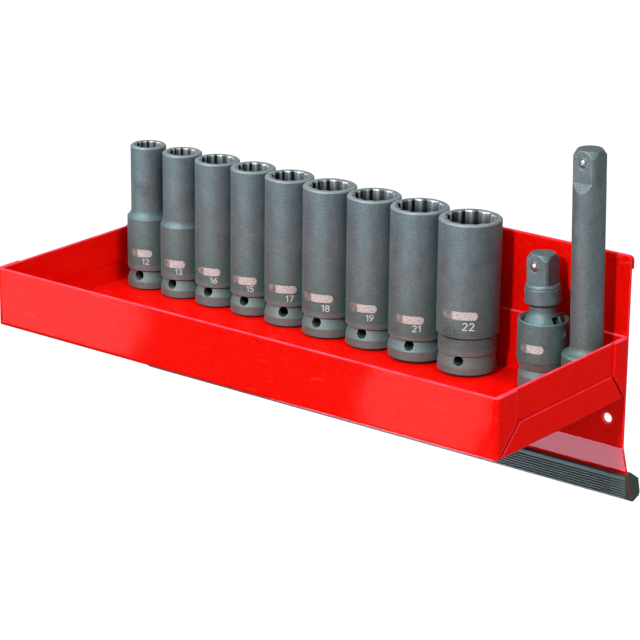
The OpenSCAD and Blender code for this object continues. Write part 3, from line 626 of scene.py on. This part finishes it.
make_camera()
bright = chrome()
dress("tray", paint("tray_enamel", tray_rim_highlight, tray_inside))
dress("back_plate", paint("plate_enamel", plate_rim_highlight))
dress("edge_strip", rubber())
for node in nodes:
    if node.startswith("socket_"):
        half = float(node.removeprefix("socket_")) / 2
        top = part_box(node)[1].z - own_axis(node)[0].z
        mouth = Mouth(half * MM / math.cos(math.radians(30)) + MOUTH_PLAY, MOUTH_FLOOR, top)
        dress_steel(node, mouth=mouth, scar=SCARS.get(node))
cup_axis = tuple(own_axis("joint_cup")[0])
for node in ("joint_cup", "joint_drive_head"):
    dress(node, steel("steel_" + node, cup_axis, light=0.92))
dress_steel("extension_bar", tint=BAR_TINT, light=0.88)
dress("joint_cross_pin", steel("steel_pin", tuple(own_axis("joint_cross_pin")[0]), light=1.1))
for node in ("joint_detent_ball", "joint_detent_spring", "bar_detent_ball", "bar_detent_spring"):
    dress(node, bright)
add_springs(bright)
add_marks(etched("etched_pill", rgb(200, 210, 208), rgb(134, 138, 138), rgb(104, 108, 108)),
          etched("etched_digits", rgb(204, 232, 232), rgb(172, 200, 200), rgb(186, 214, 214)))


# Studio: pale floor well below the hanging tray, white backdrop, a small frontal key and broad fills

FLOOR_BELOW, FLOOR_REACH, FLOOR_GREY, FLOOR_WHITE = 0.50, 12.0, (0.3, 0.3, 0.3, 1), 1.3
# How much of plain white the camera sees on the floor, and how much of it a mirror shows there and in the backdrop
FLOOR_LIT, FLOOR_MIRRORED, BACKDROP_MIRRORED = 0.8, 0.2, 0.12
ROOM_COLOUR, ROOM_LIGHT = (0.94, 0.96, 1.0, 1), 0.32
MIDDLE = (0, -0.05, 0.03)


def seen_white(g, mirrored):
    """How much of the plain white background a ray sees: all of it from the camera, a share of it in a mirror."""
    seen = g.add("ShaderNodeLightPath").outputs
    other = g.math("MAXIMUM", seen["Is Glossy Ray"], seen["Is Transmission Ray"])
    return g.math("MULTIPLY_ADD", other, mirrored, seen["Is Camera Ray"], clamp=True)


def make_floor():
    """A pale floor that keeps shadows, and can't be seen from below."""
    g = surface("floor")
    shade = g.add("ShaderNodeBsdfDiffuse", FLOOR_GREY).outputs[0]
    white = g.add("ShaderNodeEmission", WHITE, FLOOR_WHITE).outputs[0]
    lit = g.times(seen_white(g, FLOOR_MIRRORED), FLOOR_LIT)
    top = g.add("ShaderNodeMixShader", lit, shade, white).outputs[0]
    clear = g.add("ShaderNodeBsdfTransparent").outputs[0]
    under = g.add("ShaderNodeNewGeometry").outputs["Backfacing"]
    g.add("ShaderNodeOutputMaterial", g.add("ShaderNodeMixShader", under, top, clear).outputs[0])
    low = cad_box[0].z - FLOOR_BELOW
    corners = [(x * FLOOR_REACH, y * FLOOR_REACH, low) for x, y in ((-1, -1), (1, -1), (1, 1), (-1, 1))]
    mesh = bpy.data.meshes.new("floor")
    mesh.from_pydata(corners, [], [(0, 1, 2, 3)])
    floor = add_object("floor", mesh, g.owner)


def make_world():
    g = Graph(bpy.data.worlds.new("studio"))
    room = g.add("ShaderNodeBackground", ROOM_COLOUR, ROOM_LIGHT).outputs[0]
    white = g.add("ShaderNodeBackground", WHITE, 1.0).outputs[0]
    mixed = g.add("ShaderNodeMixShader", seen_white(g, BACKDROP_MIRRORED), room, white).outputs[0]
    g.add("ShaderNodeOutputWorld", mixed)
    scene.world = g.owner


def add_light(name, kind, azimuth, elevation, power, distance=0.0, aim=(0, 0, 0)):
    """A light from an azimuth (0 in front, 90 at the right) and elevation in degrees, aimed at a point."""
    out = outward(math.radians(azimuth), math.radians(elevation))
    data = bpy.data.lights.new(name, kind)
    data.energy = power
    made = bpy.data.objects.new(name, data)
    made.matrix_world = (Matrix.Translation(out * distance + Vector(aim))
                         @ out.to_track_quat("Z", "Y").to_matrix().to_4x4())
    scene.collection.objects.link(made)
    return made


def sun(name, azimuth, elevation, strength, spread):
    add_light(name, "SUN", azimuth, elevation, strength).data.angle = math.radians(spread)


def lamp(name, azimuth, elevation, distance, size, power, colour=(1, 1, 1), aim=MIDDLE, lights=True, mirrored=True):
    """A round area lamp that the camera never sees. It lights faces unless lights is off, and shows in reflections
    unless mirrored is off."""
    made = add_light(name, "AREA", azimuth, elevation, power, distance, aim)
    made.data.shape = "DISK"
    made.data.size = size
    made.data.color = colour
    made.visible_camera, made.visible_diffuse, made.visible_glossy = False, lights, mirrored


make_floor()
make_world()
sun("key", 4, 32, 2.05, 4)
lamp("top_fill", -20, 60, 1.6, 1.0, 10)
lamp("steel_sheen", -8, 8, 1.6, 0.7, 7.2, lights=False)
lamp("left_fill", -52, 32, 1.8, 0.9, 7)
lamp("right_fill", 75, 35, 1.8, 0.9, 18, mirrored=False)
lamp("low_fill", 35, -40, 0.5, 0.4, 0.3, mirrored=False)
lamp("back_fill", 195, 40, 1.8, 0.9, 6, mirrored=False)
# Cards that only show in the enamel: in the flange, and in the front wall's two ends
lamp("flange_card", -54, -44, 0.32, 0.20, 3.0, (0.80, 0.86, 1.12), (0.14, 0.0, -0.03), lights=False)
lamp("left_card", -37.6, -18.5, 0.6, 0.13, 0.36, (1, 0.92, 0.95), (-0.192, -0.115, 0.02), lights=False)
lamp("right_card", -37.6, -18.5, 0.6, 0.09, 0.16, (1, 0.92, 0.85), (0.148, -0.115, 0.02), lights=False)
scene.view_settings.view_transform = "Standard"
